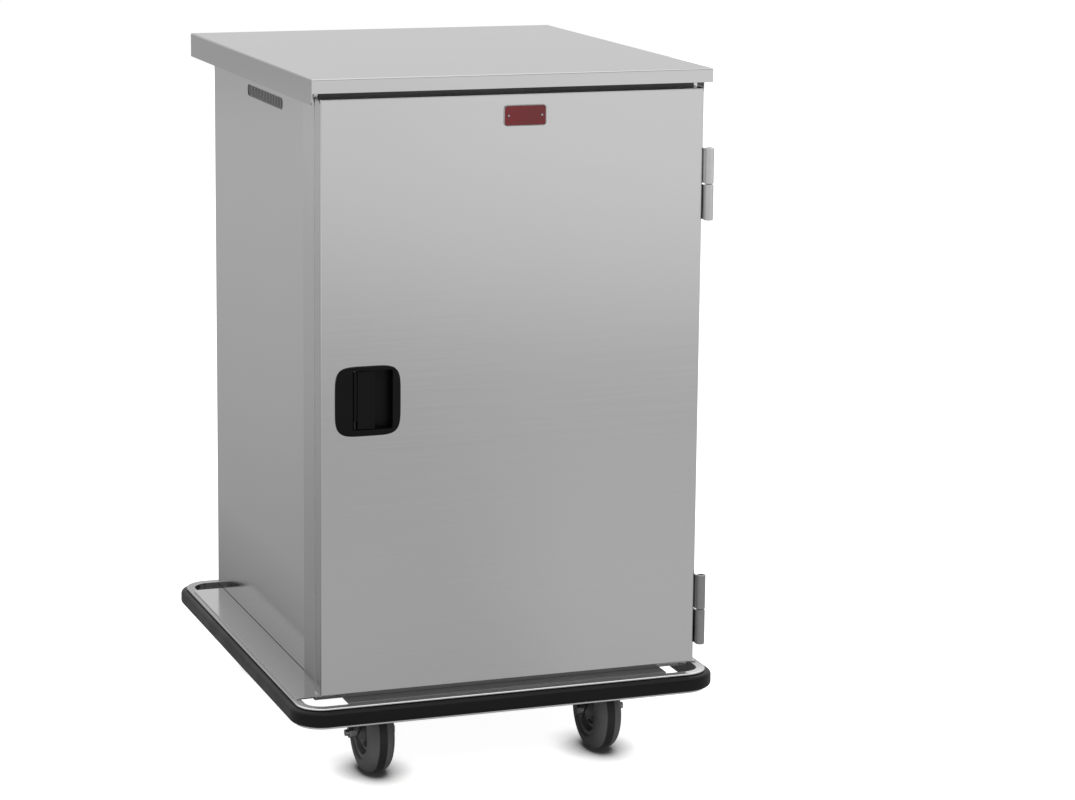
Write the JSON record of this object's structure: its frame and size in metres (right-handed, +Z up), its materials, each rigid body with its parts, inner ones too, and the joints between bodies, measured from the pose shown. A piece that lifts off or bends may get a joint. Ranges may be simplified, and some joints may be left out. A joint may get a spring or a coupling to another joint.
{
  "type": "enclosed meal tray cart",
  "caption": "Stainless steel enclosed meal tray cart: a tall cabinet with one door, a black recessed latch, side vents, a bumper ring and four swivel casters.",
  "frame": {"origin": "on the floor, under the middle of the bumper ring", "axes": "+X to the hinge side seen from the door, +Y from the door to the back, +Z up"},
  "size_m": [0.808, 0.924, 1.292],
  "materials": {
    "stainless": "satin",
    "inner_steel": "brushed",
    "black_rubber": "satin",
    "wheel_grey": "matte",
    "black_plastic": "satin",
    "zinc": "satin",
    "bright_steel": "polished",
    "red_enamel": "gloss"
  },
  "bodies": {
    "cart": {"top_cap": "stainless", "top_inner_panel": "inner_steel", "side_panel_left": "stainless", "side_panel_right": "stainless", "back_panel": "stainless", "floor_pan": "inner_steel", "front_frame": "stainless", "vent_grilles": "black_plastic", "rack_uprights_left": "inner_steel", "rack_uprights_right": "inner_steel", "tray_slides_left": "inner_steel", "tray_slides_right": "inner_steel", "strike_bracket": "zinc", "deck_plate_left": "stainless", "deck_plate_right": "stainless", "base_channel_front": "stainless", "base_channel_rear": "stainless", "bumper_channel": "stainless", "bumper_strip": "black_rubber", "hinge_frame_leaf_upper": "zinc", "hinge_frame_leaf_lower": "zinc", "hinge_pins": "bright_steel", "frame_screws": "bright_steel", "caster_bolts": "zinc", "caster_kingpins": "bright_steel", "caster_plate_fl": "zinc", "caster_plate_fr": "zinc", "caster_plate_rl": "zinc", "caster_plate_rr": "zinc"},
    "door": {"door_skin": "stainless", "door_liner": "stainless", "door_gasket": "black_rubber", "door_stiffeners": "inner_steel", "hinge_door_leaf_upper": "zinc", "hinge_door_leaf_lower": "zinc", "latch_housing": "black_plastic", "door_screws": "bright_steel", "name_plate": "red_enamel", "paddle_pin": "bright_steel", "latch_spring": "bright_steel"},
    "paddle": {"latch_paddle": "black_plastic"},
    "bolt": {"latch_bolt": "zinc"},
    "swivel_fl": {"fork_fl": "zinc", "axle_fl": "zinc"},
    "wheel_fl": {"wheel_core_fl": "wheel_grey", "tyre_fl": "black_rubber"},
    "swivel_fr": {"fork_fr": "zinc", "axle_fr": "zinc"},
    "wheel_fr": {"wheel_core_fr": "wheel_grey", "tyre_fr": "black_rubber"},
    "swivel_rl": {"fork_rl": "zinc", "axle_rl": "zinc"},
    "wheel_rl": {"wheel_core_rl": "wheel_grey", "tyre_rl": "black_rubber"},
    "swivel_rr": {"fork_rr": "zinc", "axle_rr": "zinc"},
    "wheel_rr": {"wheel_core_rr": "wheel_grey", "tyre_rr": "black_rubber"},
    "brake_rl": {"brake_pedal_rl": "zinc"},
    "brake_rr": {"brake_pedal_rr": "zinc"}
  },
  "joints": [
    {"name": "door_hinge", "type": "hinge", "parent": "cart", "child": "door", "pos_m": [0.3665, -0.447, 0.725], "axis": [0, 0, 1], "range_deg": [0, 270]},
    {"name": "paddle_hinge", "type": "hinge", "parent": "door", "child": "paddle", "pos_m": [-0.294, -0.436, 0.7256], "axis": [0, 0, -1], "range_deg": [0, 24], "stiffness_Nm_per_rad": 0.3, "springref_deg": -8.59},
    {"name": "bolt_slide", "type": "slide", "parent": "door", "child": "bolt", "axis": [1, 0, 0], "range_m": [0, 0.009]},
    {"name": "swivel_turn_fl", "type": "hinge", "parent": "cart", "child": "swivel_fl", "pos_m": [-0.221, -0.341, 0.158], "axis": [0, 0, 1], "continuous": true},
    {"name": "wheel_roll_fl", "type": "hinge", "parent": "swivel_fl", "child": "wheel_fl", "pos_m": [-0.221, -0.303, 0.0762], "axis": [1, 0, 0], "continuous": true},
    {"name": "swivel_turn_fr", "type": "hinge", "parent": "cart", "child": "swivel_fr", "pos_m": [0.221, -0.341, 0.158], "axis": [0, 0, 1], "continuous": true},
    {"name": "wheel_roll_fr", "type": "hinge", "parent": "swivel_fr", "child": "wheel_fr", "pos_m": [0.221, -0.303, 0.0762], "axis": [1, 0, 0], "continuous": true},
    {"name": "swivel_turn_rl", "type": "hinge", "parent": "cart", "child": "swivel_rl", "pos_m": [-0.221, 0.341, 0.158], "axis": [0, 0, 1], "continuous": true},
    {"name": "wheel_roll_rl", "type": "hinge", "parent": "swivel_rl", "child": "wheel_rl", "pos_m": [-0.221, 0.379, 0.0762], "axis": [1, 0, 0], "continuous": true},
    {"name": "swivel_turn_rr", "type": "hinge", "parent": "cart", "child": "swivel_rr", "pos_m": [0.221, 0.341, 0.158], "axis": [0, 0, 1], "continuous": true},
    {"name": "wheel_roll_rr", "type": "hinge", "parent": "swivel_rr", "child": "wheel_rr", "pos_m": [0.221, 0.379, 0.0762], "axis": [1, 0, 0], "continuous": true},
    {"name": "brake_press_rl", "type": "hinge", "parent": "swivel_rl", "child": "brake_rl", "pos_m": [-0.2555, 0.379, 0.122], "axis": [-1, 0, 0], "range_deg": [0, 12]},
    {"name": "brake_press_rr", "type": "hinge", "parent": "swivel_rr", "child": "brake_rr", "pos_m": [0.2555, 0.379, 0.122], "axis": [-1, 0, 0], "range_deg": [0, 12]}
  ],
  "couplings": [
    {"joint": "bolt_slide", "follows": "paddle_hinge", "m_per_rad": 0.021486}
  ]
}
